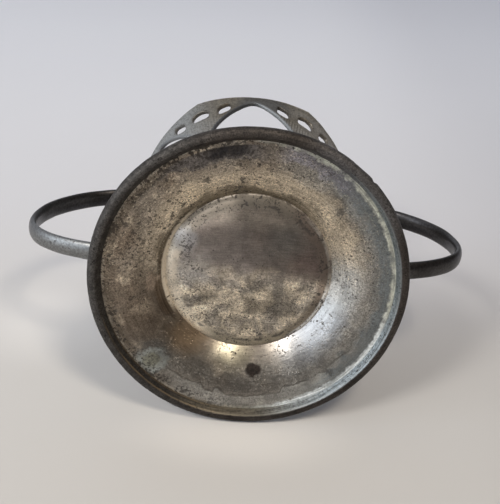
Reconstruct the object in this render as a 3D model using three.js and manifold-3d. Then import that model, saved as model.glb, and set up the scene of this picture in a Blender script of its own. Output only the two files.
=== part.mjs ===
// A two-handled metal cup holder: a pierced gallery of pointed arches on a flared foot.
// Millimetres, +Z up, origin at the middle of the resting plane, handles along X.
import * as THREE from "three";
import { mergeVertices } from "three/addons/utils/BufferGeometryUtils.js";
import Module from "manifold-3d";

const wasm = await Module();
wasm.setup();

// Driving dimensions of the whole
const HEIGHT = 72; // table to the rim of the gallery
const FOOT_RADIUS = 44; // outside of the ring under the foot
const RIM_RADIUS = 37.2; // outside of the gallery's rim, on a post
const NECK_RADIUS = 23.5; // hole through the neck of the foot
const NECK_RISE = 9.5; // table to the lower edge of the neck

// Metal and clearances
const SHEET = 1.2; // foot and floor pan
const WALL = 1.3; // gallery
const SEAT_GAP = 0.3; // solder gap between pieces that fit in or over each other

// Ring under the foot
const RING_WIDTH = 3.8;
const RING_HEIGHT = 3.6;
const RING_LAND = 0.7; // flat that stands on the table
const RING_LEDGE = 1.4; // step that carries the edge of the foot

// Foot
const FLARE_POWER = 2.1; // how late the foot turns up towards its neck
const NECK_LAND = 2.2; // flat on the neck that carries the gallery

// Floor pan
const PAN_PROUD = 1.5; // how far the underside of the pan stands below the neck
const PAN_CORNER = 2.6; // outer radius of the pan's turned-up edge

// Gallery
const ARCHES = 6;
const EARLY_FLARE = 0.52; // share of the flare that grows evenly with height
const FACET_DEPTH = 1.4; // how far the middle of each side lies inside a circle, at the rim
const BASE_BAND = 7.6; // closed band under the arches
const CROWN_BAND = 2.1; // metal above the point of each arch
const HEAD_RISE = 19.5; // springing to point of an arch
const HAUNCH_RISE = 9.6; // how high the head of an arch runs on before it bends in
const POST_WIDTH = 5.6;
const ARCH_FOOT_RADIUS = 3; // corners at the bottom of an arch

// Four-cornered holes over the posts
const MIDDLE_HOLE_WIDTH = 6.4;
const MIDDLE_HOLE_HEIGHT = 5.6;
const SIDE_HOLE_WIDTH = 4.6;
const SIDE_HOLE_HEIGHT = 5.4;
const HOLE_CORNER = 1.9; // where the rounding of a corner starts
const SIDE_HOLE_SLANT = 0.55; // rise of a side hole for its width, towards the point of the arch
const HOLE_WEB = 1; // metal between a side hole and the arch below it
const SIDE_HOLE_PLACE = 0.66; // where along the head of the arch a side hole lies
const MIDDLE_HOLE_DROP = 1.25; // middle holes hang this much lower than the side holes

// Handles
const ROD_WIDTH = 5.5; // across the loop
const ROD_DEPTH = 2.5; // in the plane of the loop
const HANDLE_REACH = 65.65; // axis of the holder to the middle of the rod, at the widest
const HANDLE_WIDEST = 36.5; // height of that point
const UPPER_ROOT_DROP = 5.8; // rim to the upper root
const LOWER_ROOT_RISE = 4.1; // foot of the gallery to the lower root
const LOWER_LEAD = 19; // how far the lower arm runs out level
const UPPER_LEAD = 14; // how far the upper arm runs out level
const LOWER_BEND = 15.8; // upright pull of the curve below the widest point
const UPPER_BEND = 17.8; // and above it

// Solder round the roots of the handles
const SOLDER_LENGTH = 1.8;
const SOLDER_FLARE = 0.9; // how far it spreads on the wall
const SOLDER_EDGE = 0.5; // its thickness at the outer end
const SOLDER_GAP = 0.2; // to the rod

// Fineness of the facets
const TURN_SEGMENTS = 60;
const FLARE_STEPS = 6;
const WALL_STEPS = 6;
const CORNER_STEPS = 3;
const ROD_SIDES = 10;
const ROD_STEPS = 32;
const ARC_STEPS = 5;

// Heights and radii that follow from them
const RING_INNER = FOOT_RADIUS - RING_WIDTH;
const LEDGE_HEIGHT = RING_HEIGHT - SHEET;
const NECK_SLOPE = (FLARE_POWER * (NECK_RISE - LEDGE_HEIGHT)) / (RING_INNER - NECK_RADIUS);
const NECK_TOP = NECK_RISE + SHEET * Math.hypot(1, NECK_SLOPE);
const WALL_FOOT_RADIUS = NECK_RADIUS + WALL;
const POST_ANGLE = (2 * Math.PI) / ARCHES;

// Materials
const silver = new THREE.MeshStandardMaterial({ color: 0x8d857a, roughness: 0.42, metalness: 1 });
const darkened = new THREE.MeshStandardMaterial({ color: 0x3f3b37, roughness: 0.55, metalness: 1 });
const rod = new THREE.MeshStandardMaterial({ color: 0x5c5b59, roughness: 0.4, metalness: 1 });
const solder = new THREE.MeshStandardMaterial({ color: 0x77736c, roughness: 0.6, metalness: 1 });

// A geometry as a solid for joining and cutting
function solidOf(geometry) {
  const bare = geometry.clone();
  bare.deleteAttribute("normal");
  bare.deleteAttribute("uv");
  const merged = mergeVertices(bare);
  const vertProperties = new Float32Array(merged.attributes.position.array);
  const triVerts = new Uint32Array(merged.index.array);
  return new wasm.Manifold(new wasm.Mesh({ numProp: 3, vertProperties, triVerts }));
}

// A solid back as a geometry
function geometryOf(solid) {
  const mesh = solid.getMesh();
  const geometry = new THREE.BufferGeometry();
  geometry.setAttribute("position", new THREE.BufferAttribute(mesh.vertProperties, 3));
  geometry.setIndex(new THREE.BufferAttribute(mesh.triVerts, 1));
  geometry.computeVertexNormals();
  return geometry;
}

// A profile of [radius, height] points turned about the Z axis
function turned(profile) {
  const points = profile.map(([radius, height]) => new THREE.Vector2(radius, height));
  return new THREE.LatheGeometry(points, TURN_SEGMENTS, Math.PI / 2).rotateX(Math.PI / 2);
}

// Points of a circular arc in a profile, both ends included
function arc(centreRadius, centreHeight, radius, fromAngle, toAngle) {
  return Array.from({ length: ARC_STEPS + 1 }, (_, i) => {
    const angle = fromAngle + ((toAngle - fromAngle) * i) / ARC_STEPS;
    return [centreRadius + radius * Math.cos(angle), centreHeight + radius * Math.sin(angle)];
  });
}

function steps(count) {
  return Array.from({ length: count + 1 }, (_, i) => i / count);
}

// Ring: a half-round bead with a flat to stand on and a step inside for the edge of the foot
function ringGeometry() {
  const bead = RING_HEIGHT / 2;
  const beadCentre = FOOT_RADIUS - bead;
  const ledgeWall = RING_INNER + RING_LEDGE;
  const profile = [
    [RING_INNER, LEDGE_HEIGHT],
    [beadCentre - RING_LAND, 0],
    ...arc(beadCentre, bead, bead, -Math.PI / 2, Math.PI / 2),
    [ledgeWall, RING_HEIGHT],
    [ledgeWall, LEDGE_HEIGHT],
    [RING_INNER, LEDGE_HEIGHT],
  ];
  return turned(profile);
}

// Underside of the foot: level at the ring, turning up towards the neck
function flareHeight(radius) {
  const share = Math.max(0, (RING_INNER - radius) / (RING_INNER - NECK_RADIUS));
  return LEDGE_HEIGHT + (NECK_RISE - LEDGE_HEIGHT) * share ** FLARE_POWER;
}

function flareTop(radius) {
  const share = Math.max(0, (RING_INNER - radius) / (RING_INNER - NECK_RADIUS));
  return flareHeight(radius) + SHEET * Math.hypot(1, NECK_SLOPE * share ** (FLARE_POWER - 1));
}

// Foot: one sheet from the ring to the neck, with a level land on the neck
function footGeometry() {
  const edge = RING_INNER + RING_LEDGE - SEAT_GAP;
  const landEdge = NECK_RADIUS + NECK_LAND;
  const under = steps(FLARE_STEPS).map((t) => NECK_RADIUS + (RING_INNER - NECK_RADIUS) * t);
  const over = steps(FLARE_STEPS).map((t) => RING_INNER + (landEdge - RING_INNER) * t);
  const profile = [
    [NECK_RADIUS, NECK_TOP],
    ...under.map((radius) => [radius, flareHeight(radius)]),
    [edge, LEDGE_HEIGHT],
    [edge, RING_HEIGHT],
    ...over.map((radius) => [radius, flareTop(radius)]),
    [landEdge, NECK_TOP],
    [NECK_RADIUS, NECK_TOP],
  ];
  return turned(profile);
}

// Floor pan: a flat disc with a turned-up edge, set in the neck and standing proud below it
function panGeometry() {
  const outside = NECK_RADIUS - SEAT_GAP;
  const bottom = NECK_RISE - PAN_PROUD;
  const cornerRadius = outside - PAN_CORNER;
  const cornerHeight = bottom + PAN_CORNER;
  const profile = [
    [0, bottom],
    ...arc(cornerRadius, cornerHeight, PAN_CORNER, -Math.PI / 2, 0),
    [outside, NECK_TOP],
    [outside - SHEET, NECK_TOP],
    ...arc(cornerRadius, cornerHeight, PAN_CORNER - SHEET, 0, -Math.PI / 2),
    [0, bottom + SHEET],
  ];
  return turned(profile);
}

// Outside of the gallery on a post, at a height
function wallRadius(height) {
  const t = THREE.MathUtils.clamp((height - NECK_TOP) / (HEIGHT - NECK_TOP), 0, 1);
  const flare = EARLY_FLARE * t + (1 - EARLY_FLARE) * t * t;
  return WALL_FOOT_RADIUS + (RIM_RADIUS - WALL_FOOT_RADIUS) * flare;
}

function wallSlope(height) {
  const nudge = 0.01;
  return (wallRadius(height) - wallRadius(height - nudge)) / nudge;
}

// Draws a round wall in to six shallow sides, more towards the rim, with the corners on the posts
function facet(geometry) {
  const position = geometry.attributes.position;
  const half = POST_ANGLE / 2;
  for (let i = 0; i < position.count; i++) {
    const x = position.getX(i);
    const y = position.getY(i);
    const corner = Math.hypot(x, y);
    const t = THREE.MathUtils.clamp((position.getZ(i) - NECK_TOP) / (HEIGHT - NECK_TOP), 0, 1);
    const middle = corner - FACET_DEPTH * t;
    const offCentre = (corner ** 2 - middle ** 2) / (2 * (middle - corner * Math.cos(half)));
    const angle = THREE.MathUtils.euclideanModulo(Math.atan2(y, x), POST_ANGLE) - half;
    const sideRadius = middle + offCentre;
    const sunk = Math.sqrt(sideRadius ** 2 - (offCentre * Math.sin(angle)) ** 2) - offCentre * Math.cos(angle);
    position.setX(i, (x * sunk) / corner);
    position.setY(i, (y * sunk) / corner);
  }
  return geometry;
}

function wallGeometry() {
  const heights = steps(WALL_STEPS).map((t) => NECK_TOP + (HEIGHT - NECK_TOP) * t);
  const outside = heights.map((height) => [wallRadius(height), height]);
  const inside = heights.map((height) => [wallRadius(height) - WALL, height]).reverse();
  return facet(turned([...outside, ...inside, outside[0]]));
}

// What the roots of the handles are fitted to: the filled gallery, a solder gap larger
function envelopeGeometry() {
  const heights = steps(WALL_STEPS).map((t) => NECK_TOP + (HEIGHT - NECK_TOP) * t);
  const outside = heights.map((height) => [wallRadius(height) + SEAT_GAP, height]);
  return facet(turned([[0, NECK_TOP], ...outside, [0, HEIGHT]]));
}

// Half the width of an arch between its posts, at a height
function jamb(height) {
  const radius = wallRadius(height);
  return radius * Math.sin(POST_ANGLE / 2 - Math.asin(POST_WIDTH / 2 / radius));
}

const SILL = NECK_TOP + BASE_BAND;
const POINT = HEIGHT - CROWN_BAND;
const SPRINGING = POINT - HEAD_RISE;

// Right half of the head of an arch, from the springing to the point
const archHead = new THREE.QuadraticBezierCurve(
  new THREE.Vector2(jamb(SPRINGING), SPRINGING),
  new THREE.Vector2(jamb(SPRINGING), SPRINGING + HAUNCH_RISE),
  new THREE.Vector2(0, POINT),
);

// Cutter for the arch that faces -Y: tangent along X, height along Z, depth along -Y
function archCutter() {
  const foot = jamb(SILL);
  const head = jamb(SPRINGING);
  const haunch = SPRINGING + HAUNCH_RISE;
  const shape = new THREE.Shape();
  shape.moveTo(ARCH_FOOT_RADIUS - foot, SILL);
  shape.lineTo(foot - ARCH_FOOT_RADIUS, SILL);
  shape.quadraticCurveTo(foot, SILL, jamb(SILL + ARCH_FOOT_RADIUS), SILL + ARCH_FOOT_RADIUS);
  shape.lineTo(head, SPRINGING);
  shape.quadraticCurveTo(head, haunch, 0, POINT);
  shape.quadraticCurveTo(-head, haunch, -head, SPRINGING);
  shape.lineTo(-jamb(SILL + ARCH_FOOT_RADIUS), SILL + ARCH_FOOT_RADIUS);
  shape.quadraticCurveTo(-foot, SILL, ARCH_FOOT_RADIUS - foot, SILL);
  const settings = { depth: 2 * RIM_RADIUS, bevelEnabled: false, curveSegments: ARC_STEPS };
  return new THREE.ExtrudeGeometry(shape, settings).rotateX(Math.PI / 2);
}

// A four-cornered hole with upright sides, its top and bottom on a slant and its corners rounded
function holeShape(width, height, slant) {
  const signs = [
    [-1, -1],
    [1, -1],
    [1, 1],
    [-1, 1],
  ];
  const corners = signs.map(([across, up]) => {
    const x = (across * width) / 2;
    return new THREE.Vector2(x, (up * height) / 2 + slant * x);
  });
  const shape = new THREE.Shape();
  corners.forEach((corner, i) => {
    const before = corners[(i + 3) % 4].clone().sub(corner).setLength(HOLE_CORNER).add(corner);
    const after = corners[(i + 1) % 4].clone().sub(corner).setLength(HOLE_CORNER).add(corner);
    if (i === 0) {
      shape.moveTo(before.x, before.y);
    } else {
      shape.lineTo(before.x, before.y);
    }
    shape.quadraticCurveTo(corner.x, corner.y, after.x, after.y);
  });
  return shape;
}

// Cutter for a hole, punched square through the wall at a direction and height
function holeCutter(shape, angle, height) {
  const depth = 6 * WALL;
  const settings = { depth, bevelEnabled: false, curveSegments: CORNER_STEPS };
  const across = new THREE.Vector3(0, 1, 0);
  const up = new THREE.Vector3(0, 0, 1);
  const outward = new THREE.Vector3(1, 0, 0);
  return new THREE.ExtrudeGeometry(shape, settings)
    .translate(0, 0, -depth / 2)
    .applyMatrix4(new THREE.Matrix4().makeBasis(across, up, outward))
    .rotateY(Math.atan(wallSlope(height)))
    .translate(wallRadius(height) - WALL / 2, 0, height)
    .rotateZ(angle);
}

// Places of the side holes, measured from the middle of an arch
const headPoint = archHead.getPoint(SIDE_HOLE_PLACE);
const headTangent = archHead.getTangent(SIDE_HOLE_PLACE);
const holeReach = SIDE_HOLE_HEIGHT / 2 / Math.hypot(1, SIDE_HOLE_SLANT) + HOLE_WEB;
const sideHoleHeight = headPoint.y - headTangent.x * holeReach;
const sideHoleAngle = Math.asin((headPoint.x + headTangent.y * holeReach) / wallRadius(sideHoleHeight));
const middleHoleHeight = sideHoleHeight - MIDDLE_HOLE_DROP;

// The posts that carry the handles have no middle hole: the upper root takes its place
const HANDLE_POSTS = [0, Math.round(ARCHES / 2)];

function galleryGeometry() {
  let gallery = solidOf(wallGeometry());
  for (let i = 0; i < ARCHES; i++) {
    const post = i * POST_ANGLE;
    const arch = post + POST_ANGLE / 2;
    gallery = gallery.subtract(solidOf(archCutter().rotateZ(arch + Math.PI / 2)));
    for (const side of [-1, 1]) {
      const shape = holeShape(SIDE_HOLE_WIDTH, SIDE_HOLE_HEIGHT, -side * SIDE_HOLE_SLANT);
      const angle = arch + side * sideHoleAngle;
      gallery = gallery.subtract(solidOf(holeCutter(shape, angle, sideHoleHeight)));
    }
    if (!HANDLE_POSTS.includes(i)) {
      const shape = holeShape(MIDDLE_HOLE_WIDTH, MIDDLE_HOLE_HEIGHT, 0);
      gallery = gallery.subtract(solidOf(holeCutter(shape, post, middleHoleHeight)));
    }
  }
  return geometryOf(gallery);
}

// Roots of a handle on the wall at +X
const lowerRoot = new THREE.Vector3(wallRadius(NECK_TOP + LOWER_ROOT_RISE), 0, NECK_TOP + LOWER_ROOT_RISE);
const upperRoot = new THREE.Vector3(wallRadius(HEIGHT - UPPER_ROOT_DROP), 0, HEIGHT - UPPER_ROOT_DROP);

// Middle line of the rod: out level from the lower root, round the widest point, back to the upper root
function handlePath() {
  const widest = new THREE.Vector3(HANDLE_REACH, 0, HANDLE_WIDEST);
  const path = new THREE.CurvePath();
  path.add(new THREE.LineCurve3(lowerRoot.clone().setX(lowerRoot.x - WALL), lowerRoot));
  path.add(
    new THREE.CubicBezierCurve3(
      lowerRoot,
      lowerRoot.clone().setX(lowerRoot.x + LOWER_LEAD),
      widest.clone().setZ(widest.z - LOWER_BEND),
      widest,
    ),
  );
  path.add(
    new THREE.CubicBezierCurve3(
      widest,
      widest.clone().setZ(widest.z + UPPER_BEND),
      upperRoot.clone().setX(upperRoot.x + UPPER_LEAD),
      upperRoot,
    ),
  );
  path.add(new THREE.LineCurve3(upperRoot, upperRoot.clone().setX(upperRoot.x - WALL)));
  return path;
}

// Oval section of the rod, its depth first
function rodSection() {
  const corners = Array.from({ length: ROD_SIDES }, (_, i) => {
    const angle = (2 * Math.PI * i) / ROD_SIDES;
    return new THREE.Vector2((ROD_DEPTH / 2) * Math.cos(angle), (ROD_WIDTH / 2) * Math.sin(angle));
  });
  return new THREE.Shape(corners);
}

const envelope = solidOf(envelopeGeometry());

function handleGeometry(angle) {
  const settings = { steps: ROD_STEPS, extrudePath: handlePath(), bevelEnabled: false };
  const bar = new THREE.ExtrudeGeometry(rodSection(), settings).rotateZ(angle);
  return geometryOf(solidOf(bar).subtract(envelope));
}

// A fillet of solder round a root, fitted to the wall
function solderGeometry(root, angle) {
  const inner = ROD_WIDTH / 2 + SOLDER_GAP;
  const profile = [
    [inner, -2 * WALL],
    [inner + SOLDER_FLARE, -2 * WALL],
    [inner + SOLDER_FLARE, 0],
    [inner + SOLDER_EDGE, SOLDER_LENGTH],
    [inner, SOLDER_LENGTH],
    [inner, -2 * WALL],
  ];
  const points = profile.map(([radius, along]) => new THREE.Vector2(radius, along + SEAT_GAP));
  const collar = new THREE.LatheGeometry(points, 2 * ROD_SIDES)
    .rotateZ(-Math.PI / 2)
    .scale(1, 1, ROD_DEPTH / ROD_WIDTH)
    .translate(root.x, root.y, root.z)
    .rotateZ(angle);
  return geometryOf(solidOf(collar).subtract(envelope));
}

function node(name, geometry, material) {
  const mesh = new THREE.Mesh(geometry, material);
  mesh.name = name;
  return mesh;
}

const holder = new THREE.Group();
holder.add(node("foot_rim_ring", ringGeometry(), darkened));
holder.add(node("foot_flare", footGeometry(), silver));
holder.add(node("floor_pan", panGeometry(), silver));
holder.add(node("gallery_wall", galleryGeometry(), silver));
["right", "left"].forEach((side, i) => {
  const angle = HANDLE_POSTS[i] * POST_ANGLE;
  holder.add(node(`handle_${side}`, handleGeometry(angle), rod));
  holder.add(node(`solder_${side}_upper`, solderGeometry(upperRoot, angle), solder));
  holder.add(node(`solder_${side}_lower`, solderGeometry(lowerRoot, angle), solder));
});

export default holder;
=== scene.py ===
"""A two-handled cup holder of tarnished pewter, lying on its side on a pale floor."""
import math
from functools import reduce

import bmesh
import bpy
from mathutils import Matrix, Vector, noise
from mathutils.geometry import delaunay_2d_cdt


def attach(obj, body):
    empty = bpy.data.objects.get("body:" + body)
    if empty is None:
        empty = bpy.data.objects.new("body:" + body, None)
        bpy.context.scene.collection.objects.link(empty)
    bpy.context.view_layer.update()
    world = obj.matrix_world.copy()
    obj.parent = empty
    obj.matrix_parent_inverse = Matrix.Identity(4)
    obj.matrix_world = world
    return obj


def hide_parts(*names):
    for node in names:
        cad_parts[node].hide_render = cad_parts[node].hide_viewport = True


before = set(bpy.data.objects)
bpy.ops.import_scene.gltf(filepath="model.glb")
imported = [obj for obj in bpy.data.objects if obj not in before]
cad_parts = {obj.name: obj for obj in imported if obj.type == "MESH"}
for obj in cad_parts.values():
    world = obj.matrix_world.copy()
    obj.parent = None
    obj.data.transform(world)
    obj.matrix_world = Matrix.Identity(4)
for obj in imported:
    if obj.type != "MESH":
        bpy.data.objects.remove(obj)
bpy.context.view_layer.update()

MM = 0.001
BODY = "root"

# Sizes of the part, in millimetres
HEIGHT = 72
FOOT_RADIUS = 44
RIM_RADIUS = 37.2
NECK_RADIUS = 23.5
NECK_RISE = 9.5
SHEET = 1.2
WALL = 1.3
SEAT_GAP = 0.3
SEAM = 0.06
RING_WIDTH = 3.8
RING_HEIGHT = 3.6
RING_LAND = 0.7
RING_LEDGE = 1.4
FLARE_POWER = 2.1
NECK_LAND = 2.2
PAN_PROUD = 1.5
ARCHES = 6
EARLY_FLARE = 0.52
FACET_DEPTH = 1.4
BASE_BAND = 7.6
CROWN_BAND = 2.1
HEAD_RISE = 19.5
HAUNCH_RISE = 9.6
POST_WIDTH = 5.6
ARCH_FOOT_RADIUS = 3
MIDDLE_HOLE_WIDTH = 6.4
MIDDLE_HOLE_HEIGHT = 5.6
SIDE_HOLE_WIDTH = 4.6
SIDE_HOLE_HEIGHT = 5.4
SIDE_HOLE_SLANT = 0.55
HOLE_WEB = 1
SIDE_HOLE_PLACE = 0.66
MIDDLE_HOLE_DROP = 1.25
ROD_WIDTH = 5.5
ROD_DEPTH = 2.5
HANDLE_REACH = 65.65
HANDLE_WIDEST = 36.5
UPPER_ROOT_DROP = 5.8
LOWER_ROOT_RISE = 4.1
LOWER_LEAD = 19
UPPER_LEAD = 14
LOWER_BEND = 15.8
UPPER_BEND = 17.8

# What follows from them
RING_INNER = FOOT_RADIUS - RING_WIDTH
LEDGE_HEIGHT = RING_HEIGHT - SHEET
NECK_SLOPE = FLARE_POWER * (NECK_RISE - LEDGE_HEIGHT) / (RING_INNER - NECK_RADIUS)
NECK_TOP = NECK_RISE + SHEET * math.hypot(1, NECK_SLOPE)
WALL_FOOT_RADIUS = NECK_RADIUS + WALL
POST_ANGLE = 2 * math.pi / ARCHES
SILL = NECK_TOP + BASE_BAND
POINT = HEIGHT - CROWN_BAND
SPRINGING = POINT - HEAD_RISE
PAN_EDGE = NECK_RADIUS - SEAM
PAN_BOTTOM = NECK_RISE - PAN_PROUD

# Camera, fitted to the photograph: focal length in pixels, turns in degrees, foot in camera space in mm
IMAGE_HEIGHT = 504
FOCAL = 850
TILT = 22.85
YAW = 0.85
ROLL = 3.98
FOOT_IN_CAMERA = Vector((-0.33, 9.46, 230.2))
SENSOR = 36
CLIP_START = 0.005

# The floor touches the ring of the foot and the rim of the gallery
FLOOR_CLEARANCE = 0.15
FLOOR_REACH = 4000

# Steps of curves and edges, and fineness of the meshes in millimetres
TURN_SEGMENTS = 480
FILLET_STEPS = 6
BEAD_STEPS = 28
FLARE_STEPS = 44
BORDER_STEPS = 18
ARCH_FOOT_STEPS = 10
ARCH_HEAD_STEPS = 40
HOLE_CORNER_STEPS = 7
LOW_SEAM_STEPS = 9
HIGH_SEAM_STEPS = 6
HANDLE_STEPS = 90
RING_STEP = 0.35
FLARE_STEP = 0.6
PAN_STEP = 0.5
ARCH_STEP = 0.55
HOLE_STEP = 0.5
MERGE = 0.002
GALLERY_MERGE = 0.01
DEGENERATE = 1e-5
SHARP_ANGLE = math.radians(50)


# Mesh helpers

def metal_object(name, points, faces, material, slot, nodes, merge=MERGE, shares=None):
    """A piece in millimetres that replaces its CAD nodes; shares are painted on its points."""
    mesh = bpy.data.meshes.new(name)
    mesh.from_pydata([Vector(p) * MM for p in points], [], faces)
    for label, values in (shares or {}).items():
        mesh.attributes.new(label, "FLOAT", "POINT").data.foreach_set("value", values)
    shape = bmesh.new()
    shape.from_mesh(mesh)
    bmesh.ops.remove_doubles(shape, verts=shape.verts, dist=merge * MM)
    bmesh.ops.dissolve_degenerate(shape, dist=DEGENERATE * MM, edges=shape.edges)
    bmesh.ops.recalc_face_normals(shape, faces=shape.faces)
    shape.to_mesh(mesh)
    shape.free()
    mesh.shade_smooth()
    mesh.set_sharp_from_angle(angle=SHARP_ANGLE)
    mesh.materials.append(material)
    piece = bpy.data.objects.new(name, mesh)
    bpy.context.scene.collection.objects.link(piece)
    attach(piece, BODY)
    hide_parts(*nodes)


def clamped(value):
    return min(1, max(0, value))


def smooth_step(low, high, value):
    t = clamped((value - low) / (high - low))
    return t * t * (3 - 2 * t)


def uneven(x, y, z, scale, amount):
    """Smooth noise in millimetres."""
    return amount * noise.noise(Vector((x, y, z)) * scale)


def parts(count):
    """Even steps from 0 to 1."""
    return [k / count for k in range(count + 1)]


def polar(radius, angle):
    return radius * math.cos(angle), radius * math.sin(angle)


def swung(x, y, z, turn):
    """A point turned about Z."""
    return x * math.cos(turn) - y * math.sin(turn), x * math.sin(turn) + y * math.cos(turn), z


def bezier(a, b, c, t):
    return a * (1 - t) ** 2 + b * 2 * t * (1 - t) + c * t * t


def filleted(corners):
    """A closed profile of (radius, height, fillet) corners with each corner rounded."""
    points = []
    count = len(corners)
    for i, (r, z, fillet) in enumerate(corners):
        here = Vector((r, z))
        if not fillet:
            points.append((r, z))
            continue
        back = Vector(corners[i - 1][:2]) - here
        ahead = Vector(corners[(i + 1) % count][:2]) - here
        start = here + back.normalized() * min(fillet, back.length / 2)
        end = here + ahead.normalized() * min(fillet, ahead.length / 2)
        points += [tuple(bezier(start, here, end, t)) for t in parts(FILLET_STEPS)]
    return points


def densified(points, step, closed=True):
    """A profile with no stretch longer than step."""
    out = []
    last = len(points) if closed else len(points) - 1
    for i in range(last):
        a = Vector(points[i])
        b = Vector(points[(i + 1) % len(points)])
        count = max(1, math.ceil((b - a).length / step))
        out += [tuple(a.lerp(b, t)) for t in parts(count)[:-1]]
    if not closed:
        out.append(points[-1])
    return out


def grid_faces(rings, sides, rings_closed=True, sides_closed=True):
    """Four-sided faces between rings of points."""
    faces = []
    for j in range(rings if rings_closed else rings - 1):
        here = j * sides
        there = (j + 1) % rings * sides
        for k in range(sides if sides_closed else sides - 1):
            n = (k + 1) % sides
            faces.append((here + k, here + n, there + n, there + k))
    return faces


def turned(profile, wear, closed=True):
    """A profile turned about Z; wear(angle, radius, height) gives the small shifts of an old piece."""
    points = []
    for j in range(TURN_SEGMENTS):
        angle = 2 * math.pi * j / TURN_SEGMENTS
        for r, z in profile:
            shift_r, shift_z = wear(angle, r, z)
            radius = r + shift_r if r > 0 else 0
            points.append((*polar(radius, angle), z + shift_z))
    return points, grid_faces(TURN_SEGMENTS, len(profile), sides_closed=closed)


# Foot

RING_FILLET = 0.25
LAND_FILLET = 0.9


def ring_profile():
    bead = RING_HEIGHT / 2
    centre = FOOT_RADIUS - bead
    wall = RING_INNER + RING_LEDGE
    half_round = [polar(bead, math.pi * (t - 0.5)) for t in parts(BEAD_STEPS)]
    corners = [(RING_INNER, LEDGE_HEIGHT, RING_FILLET), (centre - RING_LAND, 0, LAND_FILLET)]
    corners += [(centre + r, bead + z, 0) for r, z in half_round]
    corners += [(wall, RING_HEIGHT, RING_FILLET), (wall, LEDGE_HEIGHT, 0)]
    return densified(filleted(corners), RING_STEP)


RING_SEAM = math.radians(-46)
# Nick and dip by the seam of the ring: depth, place along the ring and width
SEAM_MARKS = ((0.35, 0, 0.6), (0.12, -5, 2.5))


def ring_wear(angle, r, z):
    if r < RING_INNER + RING_LEDGE + 0.1 and z > LEDGE_HEIGHT - 0.4:
        return 0, 0
    x, y = polar(r, angle)
    outward = max(0, (r - RING_INNER) / RING_WIDTH)
    away = math.remainder(angle - RING_SEAM, 2 * math.pi) * FOOT_RADIUS
    seam = sum(depth * math.exp(-((away - place) / width) ** 2) for depth, place, width in SEAM_MARKS)
    dents = uneven(x, y, z, 0.12, 0.1) + uneven(x, y, z * 2, 0.7, 0.05)
    lift = uneven(x, y, 5, 0.5, 0.04) if z > 0.2 else 0
    return (min(0, dents - 0.03) - seam) * outward, lift


def flare_share(radius):
    return max(0, (RING_INNER - radius) / (RING_INNER - NECK_RADIUS))


def flare_height(radius):
    return LEDGE_HEIGHT + (NECK_RISE - LEDGE_HEIGHT) * flare_share(radius) ** FLARE_POWER


def flare_top(radius):
    slope = NECK_SLOPE * flare_share(radius) ** (FLARE_POWER - 1)
    return flare_height(radius) + SHEET * math.hypot(1, slope)


NECK_LIP = 0.24
EDGE_FILLET = 0.2
LIP_FILLET = 0.14
NECK_FILLET = 0.3


def flare_profile():
    edge = RING_INNER + RING_LEDGE - SEAT_GAP
    land = NECK_RADIUS + NECK_LAND
    lip = NECK_RADIUS - NECK_LIP
    under = [RING_INNER + (NECK_RADIUS + 0.1 - RING_INNER) * t for t in parts(FLARE_STEPS)]
    over = [land + (RING_INNER - land) * t for t in parts(FLARE_STEPS)]
    corners = [(edge, RING_HEIGHT, EDGE_FILLET), (edge, LEDGE_HEIGHT, 0)]
    corners += [(r, flare_height(r), 0) for r in under]
    corners += [(lip, flare_height(lip), LIP_FILLET), (lip, NECK_TOP, 0), (land, NECK_TOP, NECK_FILLET)]
    corners += [(r, flare_top(r), 0) for r in over]
    return densified(filleted(corners), FLARE_STEP)


def flare_wear(angle, r, z):
    x, y = polar(r, angle)
    inside = clamped((RING_INNER - r) / 4) * clamped((r - NECK_RADIUS) / 2)
    dents = uneven(x, y, 0, 0.09, 0.16) + uneven(x, y, 3, 0.3, 0.05)
    return 0, dents * inside


PAN_FLAT = 18
PAN_BORDER_RISE = 1.55
PAN_BORDER_TURN = math.radians(58)
PAN_CROWN = 0.34
PAN_CREASE = 20.7


def pan_border(width):
    """Soft arc from the flat of the pan up to its edge."""
    turns = [PAN_BORDER_TURN * t for t in parts(BORDER_STEPS)]
    across = width / math.sin(PAN_BORDER_TURN)
    up = PAN_BORDER_RISE / (1 - math.cos(PAN_BORDER_TURN))
    return [(PAN_FLAT + across * math.sin(t), up * (1 - math.cos(t))) for t in turns]


def pan_profile():
    under = [(r, PAN_BOTTOM + z) for r, z in pan_border(PAN_EDGE - PAN_FLAT)]
    over = [(r, PAN_BOTTOM + SHEET + z) for r, z in pan_border(PAN_EDGE - SHEET - PAN_FLAT)]
    points = [(0, PAN_BOTTOM)] + under + [(PAN_EDGE, NECK_TOP), (PAN_EDGE - SHEET, NECK_TOP)]
    points += over[::-1] + [(0, PAN_BOTTOM + SHEET)]
    return densified(points, PAN_STEP, closed=False)


def pan_wear(angle, r, z):
    if z > PAN_BOTTOM + SHEET * 0.5:
        return 0, 0
    x, y = polar(r, angle)
    crown = -PAN_CROWN * max(0, 1 - (r / PAN_CREASE) ** 2)
    dents = uneven(x, y, 0, 0.1, 0.12) + uneven(x, y, 7, 0.35, 0.03)
    return 0, crown + dents * clamped((PAN_CREASE + 1 - r) / 3)


# Gallery

def wall_share(height):
    return clamped((height - NECK_TOP) / (HEIGHT - NECK_TOP))


def wall_radius(height):
    t = wall_share(height)
    flare = EARLY_FLARE * t + (1 - EARLY_FLARE) * t * t
    return WALL_FOOT_RADIUS + (RIM_RADIUS - WALL_FOOT_RADIUS) * flare


def wall_lean(height):
    nudge = 0.02
    return math.atan((wall_radius(height + nudge) - wall_radius(height - nudge)) / (2 * nudge))


CORNER_SOFTNESS = 0.035


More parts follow.
